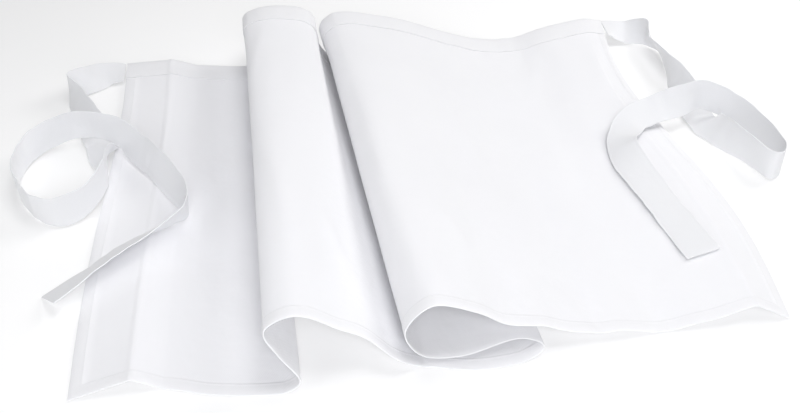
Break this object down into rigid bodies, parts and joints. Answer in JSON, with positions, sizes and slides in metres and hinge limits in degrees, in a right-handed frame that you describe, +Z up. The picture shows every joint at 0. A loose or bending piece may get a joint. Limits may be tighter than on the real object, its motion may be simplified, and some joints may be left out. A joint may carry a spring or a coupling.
{
  "type": "waist apron",
  "caption": "White waist apron lying in soft standing pleats, with stitched hems, a folded waistband and long flat ties looping beside it; worn tied round the waist.",
  "frame": {"origin": "middle of the bounding box, on the surface the apron lies on", "axes": "+X along the hem from the left side edge to the right, +Y from the hem to the waist, +Z up"},
  "size_m": [0.7738, 0.52, 0.0706],
  "materials": {
    "apron_cloth": "matte white cotton twill",
    "tie_cloth": "matte white cotton twill"
  },
  "bodies": {
    "root": {"skirt_panel": "apron_cloth", "waistband": "apron_cloth", "left_tie": "tie_cloth", "right_tie": "tie_cloth"}
  },
  "joints": []
}
